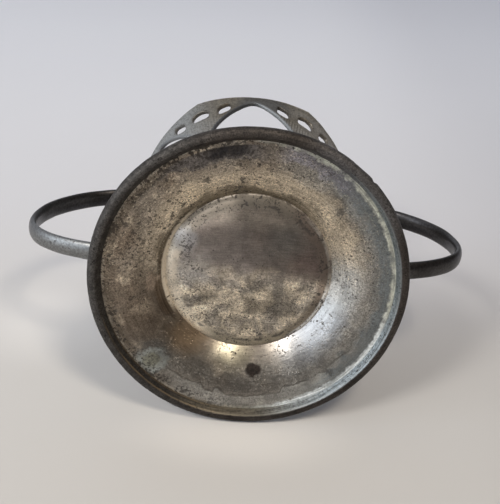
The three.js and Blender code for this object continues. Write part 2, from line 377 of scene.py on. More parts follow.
def side_radius(angle, height):
    """Outside of the wall at an angle from a post: shallow sides that meet in soft corners on the posts."""
    half = POST_ANGLE / 2
    corner = wall_radius(height)
    middle = corner - FACET_DEPTH * wall_share(height)
    off = (corner ** 2 - middle ** 2) / (2 * (middle - corner * math.cos(half)))
    turn = min(math.hypot(angle, CORNER_SOFTNESS), half) - half
    return math.sqrt((middle + off) ** 2 - (off * math.sin(turn)) ** 2) - off * math.cos(turn)


def jamb(height):
    radius = wall_radius(height)
    return radius * math.sin(POST_ANGLE / 2 - math.asin(POST_WIDTH / 2 / radius))


def arch_head():
    head = jamb(SPRINGING)
    return Vector((head, SPRINGING)), Vector((head, SPRINGING + HAUNCH_RISE)), Vector((0, POINT))


ARCH_TIP = 2.1


def blunt(point, head):
    """A point of the arch head, drawn in so that the arch ends in a rounded tip."""
    across = point.x ** 2 - (ARCH_TIP * (1 - point.x / head)) ** 2
    return Vector((math.sqrt(max(0, across)), point.y))


UNROLL = 30


def on_panel(x, height):
    """A point of an arch, x from its middle, as unrolled panel coordinates from the post."""
    angle = POST_ANGLE / 2 - math.asin(x / wall_radius(height))
    return Vector((angle * UNROLL, height))


def arch_edge():
    """Right-hand edge of a panel: half an arch from the middle of its sill to its point."""
    foot = jamb(SILL)
    corner_top = SILL + ARCH_FOOT_RADIUS
    outline = [Vector((0, SILL)), Vector((foot - ARCH_FOOT_RADIUS, SILL))]
    a = outline[-1]
    c = Vector((jamb(corner_top), corner_top))
    outline += [bezier(a, Vector((foot, SILL)), c, t) for t in parts(ARCH_FOOT_STEPS)[1:]]
    start, pull, end = arch_head()
    outline.append(start)
    tip = math.sqrt(1 - ARCH_TIP / (start.x + ARCH_TIP))
    shares = [tip * math.sin(math.pi / 2 * t) for t in parts(ARCH_HEAD_STEPS)[1:]]
    outline += [blunt(bezier(start, pull, end, t), start.x) for t in shares]
    dense = densified([tuple(p) for p in outline], ARCH_STEP, closed=False)
    return [on_panel(x, z) for x, z in dense]


HOLE_TRIM = 0.93
HOLE_ROUNDING = 0.44


def hole_loop(centre, width, height, slant):
    """A four-cornered opening with well rounded corners, drawn to the unrolled scale."""
    rounding = HOLE_ROUNDING * min(width, height)
    signs = ((-1, -1), (1, -1), (1, 1), (-1, 1))
    corners = [Vector((a * width / 2, b * height / 2 + slant * a * width / 2)) for a, b in signs]
    loop = []
    for i, corner in enumerate(corners):
        before = corner + (corners[i - 1] - corner).normalized() * rounding
        after = corner + (corners[(i + 1) % 4] - corner).normalized() * rounding
        loop += [tuple(bezier(before, corner, after, t)) for t in parts(HOLE_CORNER_STEPS)]
    across = HOLE_TRIM * UNROLL / wall_radius(centre.y)
    up = HOLE_TRIM * math.cos(wall_lean(centre.y))
    return [centre + Vector((x * across, y * up)) for x, y in densified(loop, HOLE_STEP)]


def hole_loops(has_middle):
    start, pull, end = arch_head()
    u = SIDE_HOLE_PLACE
    point = bezier(start, pull, end, u)
    tangent = ((pull - start) * (1 - u) + (end - pull) * u).normalized()
    reach = SIDE_HOLE_HEIGHT / 2 / math.hypot(1, SIDE_HOLE_SLANT) + HOLE_WEB
    side = on_panel(point.x + tangent.y * reach, point.y - tangent.x * reach)
    loops = []
    for sign in (1, -1):
        centre = Vector((sign * side.x, side.y))
        loops.append(hole_loop(centre, SIDE_HOLE_WIDTH, SIDE_HOLE_HEIGHT, sign * SIDE_HOLE_SLANT))
    if has_middle:
        centre = Vector((0, side.y - MIDDLE_HOLE_DROP))
        loops.append(hole_loop(centre, MIDDLE_HOLE_WIDTH, MIDDLE_HOLE_HEIGHT, 0))
    return loops


def crossing(a, b, height):
    """Where the line from a to b reaches a height."""
    return a.x + (b.x - a.x) * (height - a.y) / (b.y - a.y)


def within(loop, p):
    """Whether a point lies inside a closed loop."""
    inside = False
    for a, b in zip(loop, loop[1:] + loop[:1]):
        if (a.y > p.y) != (b.y > p.y) and p.x < crossing(a, b, p.y):
            inside = not inside
    return inside


EDGE_ROUND = 0.26
INNER_ROUND = 0.15
REED_PITCH = 1
REED_DEPTH = 0.19
REED_TOP = 59.6
REED_SPREAD = 0.42
REED_REACH = 9.5
REED_START = 44
REED_GROWTH = 3
REED_END = 65
REED_FADE = 1.2
RIM_LIP = 0.3
LIP_START = HEIGHT - 1.5
LIP_FULL = HEIGHT - 1


def relief(across, height):
    """Raised work on the outside: reeds on the posts, up to the holes, and a lipped rim."""
    true_across = across * wall_radius(height) / UNROLL
    lip = RIM_LIP * smooth_step(LIP_START, LIP_FULL, height)
    top = REED_TOP + REED_SPREAD * abs(true_across)
    along = smooth_step(REED_START, REED_START + REED_GROWTH, height)
    along *= 1 - smooth_step(top - REED_FADE, top, height)
    inside = 1 - smooth_step(REED_REACH - 1, REED_REACH, abs(true_across))
    wave = 0.5 + 0.5 * math.cos(2 * math.pi * true_across / REED_PITCH)
    return lip - REED_DEPTH * along * inside * (1 - wave)


def segment_distance(p, a, b):
    ab = b - a
    t = clamped((p - a).dot(ab) / max(1e-12, ab.length_squared))
    return (p - a - ab * t).length


def cells(a, b, reach):
    """Numbers of the grid cells within reach of the stretch from a to b."""
    return range(math.floor((min(a, b) - reach) / reach), math.floor((max(a, b) + reach) / reach) + 1)


def nearness(edges, reach):
    """A function that gives the distance from a point to the nearest of the edges, up to reach."""
    grid = {}
    for a, b in edges:
        for column in cells(a.x, b.x, reach):
            for row in cells(a.y, b.y, reach):
                grid.setdefault((column, row), []).append((a, b))

    def distance(p):
        near = grid.get((math.floor(p.x / reach), math.floor(p.y / reach)), ())
        return min((segment_distance(p, a, b) for a, b in near), default=reach)

    return distance


def chain(points):
    return list(zip(points, points[1:]))


def mirrored(p, axis=0):
    return Vector((2 * axis - p.x, p.y))


FINE_COLUMN = 0.13
COARSE_COLUMNS = 7
COARSE_ROW = 0.85
SEAM_STEP = 0.8
EDGE_REACH = 2.0
# Depths of the rows of points along the edges, and how near to an edge a point may be
EDGE_ROWS = [EDGE_ROUND * (1 - math.cos(math.radians(t))) for t in (35, 62, 90)]
EDGE_ROWS += [EDGE_ROUND * 1.6, EDGE_ROUND * 2.6, EDGE_ROUND * 4]
EDGE_GAP = EDGE_ROWS[0] * 0.6
HALF_PANEL = POST_ANGLE / 2 * UNROLL
# How far inside its border a panel's points begin, and how near a point counts as on its seam
BORDER_MARGIN = 0.02
RIM_MARGIN = 0.01
SEAM_NEAR = 1e-4
SAME_POINT = 1e-5


def panel_outline(right):
    """Border of a panel, from the foot of its right-hand seam round to the base."""
    tip = right[-1].y
    low = [NECK_TOP + (SILL - NECK_TOP) * t for t in parts(LOW_SEAM_STEPS)[:-1]]
    high = [tip + (HEIGHT - tip) * t for t in parts(HIGH_SEAM_STEPS)[1:]]
    side = [Vector((HALF_PANEL, z)) for z in low] + right + [Vector((HALF_PANEL, z)) for z in high]
    across = [2 * HALF_PANEL * t - HALF_PANEL for t in parts(math.ceil(2 * HALF_PANEL / SEAM_STEP))[1:-1]]
    rim = [Vector((-x, HEIGHT)) for x in across]
    base = [Vector((x, NECK_TOP)) for x in across]
    return side + rim + [mirrored(p) for p in reversed(side)] + base


def panel_arches(right):
    """Edges of the arches on both sides of a panel, as far as their other halves."""
    arches = chain(right)
    for axis in (HALF_PANEL, 0):
        arches += [(mirrored(a, axis), mirrored(b, axis)) for a, b in arches]
    return arches


def panel_test(right, loops):
    """A function that says whether a point lies in the metal of a panel."""
    def inside(p):
        if abs(p.x) > HALF_PANEL - BORDER_MARGIN or not NECK_TOP + BORDER_MARGIN < p.y < HEIGHT - RIM_MARGIN:
            return False
        if any(within(loop, p) for loop in loops):
            return False
        if not SILL < p.y < right[-1].y:
            return True
        level = [(a, b) for a, b in chain(right) if a.y != b.y and min(a.y, b.y) <= p.y <= max(a.y, b.y)]
        return abs(p.x) < min((crossing(a, b, p.y) for a, b in level), default=HALF_PANEL)

    return inside


def panel_filling(edges):
    """Points in rows along the edges, and in columns that are closest on the reeds."""
    filling = []
    for a, b in edges:
        along = (b - a).normalized()
        for side in (-1, 1):
            normal = Vector((-along.y, along.x)) * side
            filling += [(a + b) / 2 + normal * depth for depth in EDGE_ROWS]
    columns = math.ceil(HALF_PANEL / FINE_COLUMN)
    rows = math.ceil((HEIGHT - NECK_TOP) / COARSE_ROW)
    for i in range(-columns, columns + 1):
        x = i * FINE_COLUMN
        column = [Vector((x, NECK_TOP + j * COARSE_ROW)) for j in range(rows)]
        coarse = i % COARSE_COLUMNS == 0
        filling += [p for p in column if coarse or (abs(x) < REED_REACH and REED_START < p.y < REED_END)]
    return filling


def open_edges(triangles):
    """Edges that only one triangle has."""
    found = {}
    for tri in triangles:
        for edge in zip(tri, tri[1:] + tri[:1]):
            key = tuple(sorted(edge))
            found[key] = None if key in found else edge
    return [edge for edge in found.values() if edge]


def panel(has_middle):
    """A sixth of the gallery, flat: points, triangles, distances to edges, arches and holes, cut edges."""
    right = arch_edge()
    loops = hole_loops(has_middle)
    arches = panel_arches(right)
    holes = [edge for loop in loops for edge in chain(loop + loop[:1])]
    edges = arches + [(Vector((-HALF_PANEL, HEIGHT)), Vector((HALF_PANEL, HEIGHT)))] + holes
    distances = [nearness(kind, EDGE_REACH) for kind in (edges, arches, holes)]
    inside = panel_test(right, loops)
    points = []
    bounds = []
    for loop in [panel_outline(right)] + loops:
        first = len(points)
        points += loop
        bounds += [(first + k, first + (k + 1) % len(loop)) for k in range(len(loop))]
    points += [p for p in panel_filling(edges) if inside(p) and distances[0](p) > EDGE_GAP]
    flat, _, triangles, *_ = delaunay_2d_cdt(points, bounds, [], 0, SAME_POINT)
    flat = [Vector(p) for p in flat]
    solid = [tuple(tri) for tri in triangles if inside(sum((flat[i] for i in tri), Vector((0, 0))) / 3)]
    seam = {i for i, p in enumerate(flat) if abs(abs(p.x) - HALF_PANEL) < SEAM_NEAR}
    walls = [edge for edge in open_edges(solid) if not seam.issuperset(edge)]
    depths = [tuple(distance(p) for distance in distances) for p in flat]
    return flat, solid, depths, walls


def panel_point(p, depth, side, turn):
    """A panel point on the outside (side 1) or the inside (side -1) of the wall, at a post's angle."""
    across = p.x / UNROLL
    radius = side_radius(across, p.y) - WALL / 2
    lean = wall_lean(p.y)
    rounding = EDGE_ROUND if side > 0 else INNER_ROUND
    edge = min(depth[0], rounding)
    offset = WALL / 2 - rounding + math.sqrt(max(0, rounding ** 2 - (rounding - edge) ** 2))
    if side > 0:
        offset += relief(p.x, p.y)
    angle = across + turn
    x, y = polar(radius, angle)
    rough = uneven(x, y, p.y, 0.16, 0.1) + uneven(x, y, p.y, 0.8, 0.025)
    reach = radius + side * offset * math.cos(lean) + rough
    return (*polar(reach, angle), p.y - side * offset * math.sin(lean))


HANDLE_POSTS = (0, round(ARCHES / 2))
ARCH_CUT = 0.75
HOLE_DIRT = 0.7
TIP_FADE = 4
TIP_LIGHT = 0.25


def cut_light_share(p, turn):
    """How light an arch's cut edge is painted: painted light where it faces -X, towards the window, duller
    towards the tip.
    """
    from_tip = smooth_step(0, TIP_FADE, HALF_PANEL - abs(p.x))
    facing = math.copysign(0.5, p.x) * math.sin(turn)
    return TIP_LIGHT + (0.5 + facing - TIP_LIGHT) * from_tip


def gallery_mesh():
    """Points, faces, and the shares of cut arch edge, of painted light there and of dirt in the holes."""
    panels = {has_middle: panel(has_middle) for has_middle in (True, False)}
    points = []
    faces = []
    shares = {"arch_cut": [], "cut_bare": [], "hole_dirt": []}
    for i in range(ARCHES):
        flat, solid, depths, walls = panels[i not in HANDLE_POSTS]
        first = len(points)
        inner = first + len(flat)
        for side in (1, -1):
            points += [panel_point(p, d, side, i * POST_ANGLE) for p, d in zip(flat, depths)]
            shares["arch_cut"] += [1 - smooth_step(ARCH_CUT / 2, ARCH_CUT, d[1]) for d in depths]
            shares["cut_bare"] += [cut_light_share(p, i * POST_ANGLE) for p in flat]
            shares["hole_dirt"] += [max(0, 1 - d[2] / HOLE_DIRT) for d in depths]
        faces += [(first + a, first + b, first + c) for a, b, c in solid]
        faces += [(inner + c, inner + b, inner + a) for a, b, c in solid]
        faces += [(first + b, first + a, inner + a, inner + b) for a, b in walls]
    return points, faces, shares


# Handles

LOWER_ROOT = Vector((wall_radius(NECK_TOP + LOWER_ROOT_RISE), NECK_TOP + LOWER_ROOT_RISE))
UPPER_ROOT = Vector((wall_radius(HEIGHT - UPPER_ROOT_DROP), HEIGHT - UPPER_ROOT_DROP))


def cubic(a, b, c, d, t):
    s = 1 - t
    return a * s ** 3 + b * 3 * s * s * t + c * 3 * s * t * t + d * t ** 3


def handle_line():
    """Middle line of a rod as (radius, height), from the lower root round to the upper root."""
    widest = Vector((HANDLE_REACH, HANDLE_WIDEST))
    low = (LOWER_ROOT, LOWER_ROOT + Vector((LOWER_LEAD, 0)), widest - Vector((0, LOWER_BEND)), widest)
    high = (widest, widest + Vector((0, UPPER_BEND)), UPPER_ROOT + Vector((UPPER_LEAD, 0)), UPPER_ROOT)
    line = [cubic(*low, t) for t in parts(HANDLE_STEPS)[:-1]]
    line += [cubic(*high, t) for t in parts(HANDLE_STEPS)]
    sunk = Vector((WALL / 2, 0))
    return [LOWER_ROOT - sunk] + line + [UPPER_ROOT - sunk]


ROD_SIDES = 32
ROD_WAVE = 0.045
ROD_WAVE_SCALE = 0.14


def handle_mesh(turn):
    """A flat rod along the handle's line, slightly uneven, with closed ends."""
    line = handle_line()
    points = []
    for i, here in enumerate(line):
        along = (line[min(i + 1, len(line) - 1)] - line[max(i - 1, 0)]).normalized()
        normal = Vector((-along.y, along.x))
        for k in range(ROD_SIDES):
            deep, wide = polar(0.5, 2 * math.pi * k / ROD_SIDES)
            deep *= ROD_DEPTH
            wide *= ROD_WIDTH
            flat = here + normal * deep
            spot = Vector((flat.x, wide * 0.6, flat.y)) * ROD_WAVE_SCALE + Vector((turn * 9, 0, 0))
            wave = 1 + ROD_WAVE * noise.noise(spot)
            flat = here + normal * deep * wave
            points.append(swung(flat.x, wide * wave, flat.y, turn))
    faces = grid_faces(len(line), ROD_SIDES, rings_closed=False)
    faces.append(tuple(range(ROD_SIDES)))
    faces.append(tuple(reversed(range(len(points) - ROD_SIDES, len(points)))))
    return points, faces


SOLDER_LENGTH = 2.0
SOLDER_SPREAD = 1.15
SOLDER_SIDES = 40
SOLDER_STEPS = 10
SOLDER_LUMPS = 0.35
SOLDER_LUMP_SCALE = 1.3
SOLDER_SINK = 0.12
# How far the last ring of points is tucked away into the rod and the wall
SOLDER_TUCK_ROD = 0.15
SOLDER_TUCK_WALL = 0.3


def solder_mesh(root, turn, seed):
    """A fillet of solder from the wall to the rod, thicker on one side than on the other."""
    points = []
    rings = SOLDER_STEPS + 2
    for j in range(rings):
        tucked = j > SOLDER_STEPS
        t = min(1, j / SOLDER_STEPS)
        for k in range(SOLDER_SIDES):
            a = 2 * math.pi * k / SOLDER_SIDES
            lump = 1 + SOLDER_LUMPS * noise.noise(Vector((*polar(SOLDER_LUMP_SCALE, a), seed)))
            spread = SOLDER_SPREAD * lump * (1 - t) ** 2.2 + SOLDER_SINK * (1 - t)
            spread += -SOLDER_TUCK_ROD if tucked else 0.02
            y = (ROD_WIDTH / 2 + spread) * math.cos(a)
            z = root.y + (ROD_DEPTH / 2 + spread) * math.sin(a)
            angle = math.asin(y / wall_radius(z))
            wall = side_radius(angle, z) * math.cos(angle)
            out = -SOLDER_TUCK_WALL if tucked else SOLDER_LENGTH * lump * t ** 1.6
            points.append(swung(wall - SOLDER_SINK + out, y, z, turn))
    return points, grid_faces(rings, SOLDER_SIDES)


# Materials

def sum_node(operation):
    """A method that adds a node for a sum with a value."""
    return lambda value, *others: value.nodes.maths(operation, value, *others)


class Value:
    """A number, place or colour in a node tree; sums with it add nodes, and | takes the larger number."""

    __add__ = sum_node("ADD")
    __sub__ = sum_node("SUBTRACT")
    __mul__ = sum_node("MULTIPLY")
    __truediv__ = sum_node("DIVIDE")
    __or__ = sum_node("MAXIMUM")
    __abs__ = sum_node("ABSOLUTE")

    def __init__(self, nodes, socket):
        self.nodes = nodes
        self.socket = socket

    def __rsub__(self, other):
        return self.nodes.maths("SUBTRACT", other, self)

    def __call__(self, low, high, start=0.0, end=1.0):
        """A smooth step from start at low to end at high."""
        limits = (low, high, start, end)
        return self.nodes.out("ShaderNodeMapRange", 0, self, *limits, interpolation_type="SMOOTHSTEP")


class Nodes:
    """Short ways to add nodes to a node tree."""

    def __init__(self, tree):
        self.tree = tree

    def put(self, socket, value):
        if isinstance(value, Value):
            self.tree.links.new(value.socket, socket)
        else:
            socket.default_value = value

    def node(self, kind, *values, **settings):
        """A node with settings by name, and values for its first inputs."""
        made = self.tree.nodes.new(kind)
        for key, value in settings.items():
            if key in made.inputs:
                self.put(made.inputs[key], value)
            else:
                setattr(made, key, value)
        for socket, value in zip(made.inputs, values):
            self.put(socket, value)
        return made

    def out(self, kind, output, *values, **settings):
        return Value(self, self.node(kind, *values, **settings).outputs[output])

    def maths(self, operation, *values):
        return self.out("ShaderNodeMath", 0, *values, operation=operation)

    def most(self, *values):
        return reduce(lambda a, b: a | b, values)

    def mix(self, share, a, b):
        made = self.node("ShaderNodeMix", share, data_type="RGBA")
        for index, colour in ((6, a), (7, b)):
            self.put(made.inputs[index], colour if isinstance(colour, Value) else (*colour, 1))
        return Value(self, made.outputs[2])


class Finish(Nodes):
    """A material built up in layers of colour, with places in millimetres in the part's frame."""

    def __init__(self, name):
        self.material = bpy.data.materials.new(name)
        self.material.use_nodes = True
        super().__init__(self.material.node_tree)
        self.shader = self.tree.nodes["Principled BSDF"]
        self.place = self.shade(self.out("ShaderNodeTexCoord", "Object"), 1 / MM)
        self.x, self.y, self.z = self.split(self.place)
        self.radius = self.maths("SQRT", self.x * self.x + self.y * self.y)
        self.under = self.split(self.out("ShaderNodeNewGeometry", "Normal"))[2](0.1, -0.1)

    def split(self, vector):
        return [Value(self, socket) for socket in self.node("ShaderNodeSeparateXYZ", vector).outputs]

    def lay(self, colour, share):
        """Lays a colour over the others."""
        self.colour = self.mix(share, self.colour, colour)

    def tone(self, factor):
        self.colour = self.shade(self.colour, factor)

    def mottle(self, *settings):
        self.colour = self.mottled(self.colour, *settings)

    def shade(self, colour, factor):
        """A colour made lighter or darker by a factor."""
        return self.out("ShaderNodeVectorMath", 0, operation="SCALE", Vector=colour, Scale=factor)

    def mottled(self, colour, noise_value, amount, dark=0.5, light=1.55):
        """A colour with fine light and dark mottling; amount from 0 to 1 says where."""
        return self.shade(colour, noise_value(0.33, 0.67, dark - 1, light - 1) * amount + 1.0)

    def moved(self, shift=(0, 0, 0), stretch=(1, 1, 1), turn=(0, 0, 0)):
        return self.out("ShaderNodeMapping", 0, self.place, Location=shift, Scale=stretch, Rotation=turn)

    def noise_at(self, place, scale, detail, rough=0.5, warp=0.0):
        made = self.node("ShaderNodeTexNoise", Vector=place, Scale=scale, Detail=detail, Roughness=rough)
        made.inputs["Distortion"].default_value = warp
        return Value(self, made.outputs["Fac"])

    def cloud(self, size, detail=4, rough=0.55, place=None, warp=0.0):
        """Noise whose features are about size millimetres wide."""
        return self.noise_at(place or self.place, 1 / size, detail, rough, warp)

    def spun(self, across, along):
        """Noise drawn out round the axis, as on turned ware, in millimetres across and along."""
        turns = FOOT_RADIUS / along
        x = self.x / self.radius * turns
        y = self.y / self.radius * turns
        z = (self.radius - self.z) * (1 / across)
        return self.noise_at(self.out("ShaderNodeCombineXYZ", 0, x, y, z), 1, 3)

    def blotch(self, centre, size, ragged=0.5, soft=0.45, stretch=(1, 1, 1)):
        """A ragged patch round a place; 1 in its middle and 0 outside."""
        away = self.out("ShaderNodeVectorMath", 0, self.place, centre, operation="SUBTRACT")
        away = self.out("ShaderNodeVectorMath", 0, away, stretch, operation="MULTIPLY")
        length = self.out("ShaderNodeVectorMath", "Value", away, operation="LENGTH")
        wobble = (self.cloud(size * 0.55, 5, 0.6) - 0.5) * (size * ragged * 2)
        return (length + wobble)(size, size * (1 - soft))

    def pits(self, size, amount, clump=6.0, seed=0):
        """Ragged pits about size millimetres wide, gathered in groups; amount says how many."""
        place = self.moved(shift=(seed * 3.1, seed * 1.7, seed * 2.3))
        groups = self.cloud(clump, 3, 0.5, place)(0.36, 0.64, -0.07, 0.06)
        return (self.cloud(size, 2, 0.5, place) + groups)(0.72 - amount, 0.78 - amount)

    def scratches(self, turn, length=14, width=0.09, share=0.035, seed=0):
        """Fine straight scratches that run one way."""
        stretch = (1 / length, 1 / width, 0.01)
        place = self.moved(shift=(seed * 7, seed * 11, 0), stretch=stretch, turn=(0, 0, turn))
        return self.noise_at(place, 1, 1, 0.4)(0.7 - share, 0.74) * self.cloud(8 + seed, 2)(0.48, 0.6)

    def painted(self, label):
        """A share painted on the points of the mesh."""
        return self.out("ShaderNodeAttribute", "Fac", attribute_name=label)

    def done(self, metallic, roughness, height, depth):
        """Links the finish up; height is in parts of depth, and depth in millimetres."""
        bump = self.out("ShaderNodeBump", 0, Height=height, Distance=depth * MM)
        looks = {"Base Color": self.colour, "Metallic": metallic, "Roughness": roughness, "Normal": bump}
        for key, value in looks.items():
            self.put(self.shader.inputs[key], value)
        return self.material


GREY = (0.275, 0.24, 0.2)
BROWN = (0.21, 0.17, 0.133)
BEIGE = (0.50, 0.43, 0.335)
COOL = (0.27, 0.285, 0.285)
SOOT = (0.035, 0.03, 0.027)
RUST = (0.016, 0.011, 0.009)
PALE = (0.4, 0.425, 0.41)

# Soft darker and lighter places: middle, size and factor. Some on the foot are painted highlight on the neck
# and slope, and some are painted shade that dims highlights
FOOT_TONES_AND_PAINTED_LIGHT = (
    ((-25.5, 0, 7.8), 3.5, 0.64),
    ((-3.4, -33, 3.5), 4.5, 0.76),
    ((-30, -14.6, 3.5), 4.5, 0.82),
    ((22.3, -25.4, 3.4), 4.5, 0.83),
    ((-29, 21.4, 2.8), 4, 0.85),
    ((-19.2, 24.9, 4.2), 5, 1.24),
    ((14.3, 30.4, 3.4), 6.5, 1.24),
    ((24.3, 4, 8.5), 5, 1.5),
    ((0, 25.3, 8), 4.5, 0.64),
    ((14.8, 20.8, 8), 3, 0.72),
    ((22.2, 28.8, 2.7), 4.5, 1.6),
    ((23.8, -18.7, 4.8), 4, 0.68),
)
PAN_SHADES = (
    ((9.5, 9, 8), 8, 0.5),
    ((1.7, 9.7, 8), 5, 0.6),
    ((-11.5, 7.4, 8), 5, 0.52),
    ((-3.4, 2, 8), 4.5, 1.8),
    ((-0.5, -1.6, 8), 3.5, 1.5),
    ((-20.8, -8.6, 8), 4, 0.62),
    ((21, 4, 8), 5, 1.9),
)
# Small marks and crusts of dirt: middle and size
FOOT_MARKS = (
    ((-13, -28, 4), 1.7),
    ((22.9, -21.4, 4), 1.6),
    ((6, -25.5, 6), 1.2),
    ((-29, -9, 4), 1.2),
    ((25, 26.5, 3), 1.6),
)
PAN_CRUSTS = (((6, -20.5, 8), 3), ((-9, -18.6, 8), 5), ((14, -14.5, 8), 5))
# The patch of pale corrosion lies along the slope of the foot
PATCH_STRETCH = (0.85, 1, 0.4)


def foot_noise(f):
    """Noises and edges that the layers of the foot share."""
    f.large = f.cloud(16, 4, 0.55, warp=0.4)
    f.patch = f.cloud(4.5, 3, 0.5)
    f.fine = f.cloud(0.7, 3, 0.65)
    f.grain = f.cloud(0.36, 2, 0.6)
    f.turning = f.spun(0.55, 16)
    f.ragged = f.radius + (f.patch - 0.5) * 9
    f.shore = f.radius + (f.patch - 0.5) * 4 + (f.large - 0.5) * 12
    f.low = f.y(-8, 12)


def foot_ground(f):
    """Warm metal, neutral at the right and below, golden above: partly tarnish, partly painted floor
    reflection.
    """
    tarnish = f.large(0.4, 0.62)
    warm = f.mix(tarnish, GREY, BROWN)
    neutral = f.mix(tarnish, (0.3, 0.285, 0.26), (0.225, 0.208, 0.185))
    f.colour = f.mix(f.x(-4, 16) | f.y(14, 28) * 0.7, warm, neutral)
    # The golden zone above the neck is partly tarnish and partly a painted reflection of the pale floor
    f.gold = f.ragged(34, 29) * (1 - f.low) * f.x(-30, -22, 0.4, 1)
    f.lay((0.62, 0.53, 0.41), f.gold * 0.85)
    # Painted reflection: a creamy patch at the upper left of the neck stands for the pale floor mirrored
    # there
    f.lay((0.78, 0.665, 0.5), f.blotch((-16, -23, 6), 7, 0.4, 0.8) * 0.6)
    # Painted reflection: a lighter grey patch at the right of the neck stands for the window mirrored there
    f.lay((0.44, 0.435, 0.42), f.blotch((28, -1, 6), 8, 0.4, 0.9) * 0.6)
    f.lay(BEIGE, f.patch(0.52, 0.66) * f.x(10, -10, 0.2, 0.6) * f.y(2, 14, 1, 0.4))
    f.lay((0.52, 0.41, 0.32), f.blotch((-26.6, 3.5, 7), 3.6, 0.6, 0.6) * 0.7)


def foot_neck(f):
    """Brown collar round the neck, partly painted dark reflection, a warm painted glow round the lamp
    highlights below, and silver at the right.
    """
    slanted = f.y + f.x * 0.9
    # The brown collar, darkest at the lower left, is partly tarnish and partly a painted reflection of the
    # dark side of the room
    f.collar = f.ragged(27.5, 25.5) * slanted(2, -10)
    f.lay(f.mix(f.y(-14, 2), (0.31, 0.265, 0.2), (0.17, 0.126, 0.086)), f.collar * 0.9)
    # Painted highlight: a warm glow and a yellow tint round the lamp highlights at the bottom of the neck
    f.lay((0.5, 0.37, 0.245), f.blotch((-17, 20, 8), 8, 0.3, 0.8) * 0.85)
    f.lay((0.345, 0.325, 0.255), f.blotch((-3, 25, 8), 8, 0.3, 0.8) * 0.7)
    silver = f.mix(f.y(4, 14), (0.41, 0.41, 0.4), (0.315, 0.31, 0.31))
    f.lay(silver, f.x(6, 18) * f.y(-12, 2) * f.ragged(34, 28) * 0.9)


def foot_rim(f):
    """Cool, slaty and violet metal towards the ring, and soft darker and lighter places, some of them
    painted highlight and shade.
    """
    bent = f.x - f.y(-30, -36) * 18
    f.cool = bent(0, 24) * f.shore(33, 37.5)
    f.lay(COOL, f.cool * 0.85)
    f.lay((0.37, 0.365, 0.345), f.shore(34.9, 35.3) * f.y(12, 22) * f.x(-25, -15) * 0.6)
    slate = f.ragged(34.8, 37) * f.x(16, 26) * f.turning(0.34, 0.56, 0.4, 1)
    f.lay((0.15, 0.17, 0.182), slate * 0.85)
    violet = f.y(-20, -28) * f.x(3, 10) * f.x(30, 20) * f.ragged(35, 37)
    f.lay((0.215, 0.21, 0.25), violet * 0.7)
    f.lay((0.14, 0.117, 0.092), f.radius(37, 38.4) * f.x(-18, -28) * 0.8)
    left = f.x(-20, -27) * f.y(14, 4) * f.y(-18, -8)
    f.tone(left * f.radius(28, 36, -0.2, 0.2) + 1.0)
    # Soft places, some of them painted highlight and some painted shade over highlights
    for centre, size, factor in FOOT_TONES_AND_PAINTED_LIGHT:
        f.tone(f.blotch(centre, size, 0.4, 0.9)(0, 1, 1, factor))


def foot_grain(f):
    """Mottling, calmer where the metal is smooth, and painted glints."""
    smooth = f.radius(31, 26) * f.low | f.cool * 0.6 | f.collar * 0.6
    f.calm = smooth(0, 1, 1, 0.3) * f.y(4, 20, 1, 0.7)
    f.mottle(f.patch, f.calm, 0.82, 1.2)
    f.mottle(f.fine, f.calm * f.patch(0.36, 0.6, 0.6, 1.2), 0.76, 1.26)
    f.mottle(f.grain, f.calm, 0.7, 1.34)
    f.mottle(f.turning, f.collar(0, 1, 0.7, 1.6), 0.84, 1.16)
    bare_and_sheen = f.gold | (1 - f.low) * 0.5
    # Painted glints: pale flecks laid into the colour
    f.lay((1.0, 0.89, 0.69), f.cloud(0.45, 2)(0.6, 0.7) * bare_and_sheen * f.calm * 0.85)


def foot_stains(f):
    """Near-black patch at the top, pale corrosion at the lower left, a rust spot, small marks and a tide
    line.
    """
    reach = f.radius + (f.cloud(3, 6, 0.7) - 0.5) * 7 - f.x(-12, -26, 0, 2.4)
    f.dark = reach(34.2, 35.6) * f.x(-28, -22) * f.y(-20, -24) * f.x(7, -2)
    f.dark = f.dark * f.radius(39.5, 38.8) * f.under
    core = f.x(-17, -11) * reach(35.2, 37) * f.x(0, -5)
    top_patch_colour = f.mix(core, (0.095, 0.085, 0.08), (0.017, 0.016, 0.018))
    f.lay(f.mottled(top_patch_colour, f.fine, 1.0), f.dark * 0.98)
    pale = f.blotch((-25.4, 26.2, 2.9), 4.4, 0.45, 0.3, PATCH_STRETCH)
    inside = f.blotch((-25.8, 25.9, 2.9), 3, 0.5, 0.5, PATCH_STRETCH)
    halo = f.blotch((-24.6, 25.2, 3.1), 7, 0.6, 0.5, PATCH_STRETCH)
    f.lay((0.11, 0.115, 0.115), halo * f.under * 0.45)
    f.lay(PALE, pale * f.under * f.fine(0.3, 0.56, 0.4, 0.95))
    f.lay(f.mottled((0.2, 0.195, 0.145), f.fine, 1.0), inside * f.under * 0.75)
    f.spot = f.blotch((3.4, 29, 5.4), 3.2, 0.4, 0.5) * f.under
    f.lay(f.mottled(RUST, f.fine, 1.0), f.spot * 0.97)
    f.marks = f.most(*(f.blotch(centre, size, 1.3, 0.6) for centre, size in FOOT_MARKS)) * f.under
    f.lay(SOOT, f.marks * 0.75)
    tide = abs(f.shore - 35)(0.5, 0.1) * f.y(12, 22) * f.x(-25, -17)
    f.lay((0.09, 0.08, 0.07), tide * f.patch(0.36, 0.52, 0.4, 1) * 0.6)


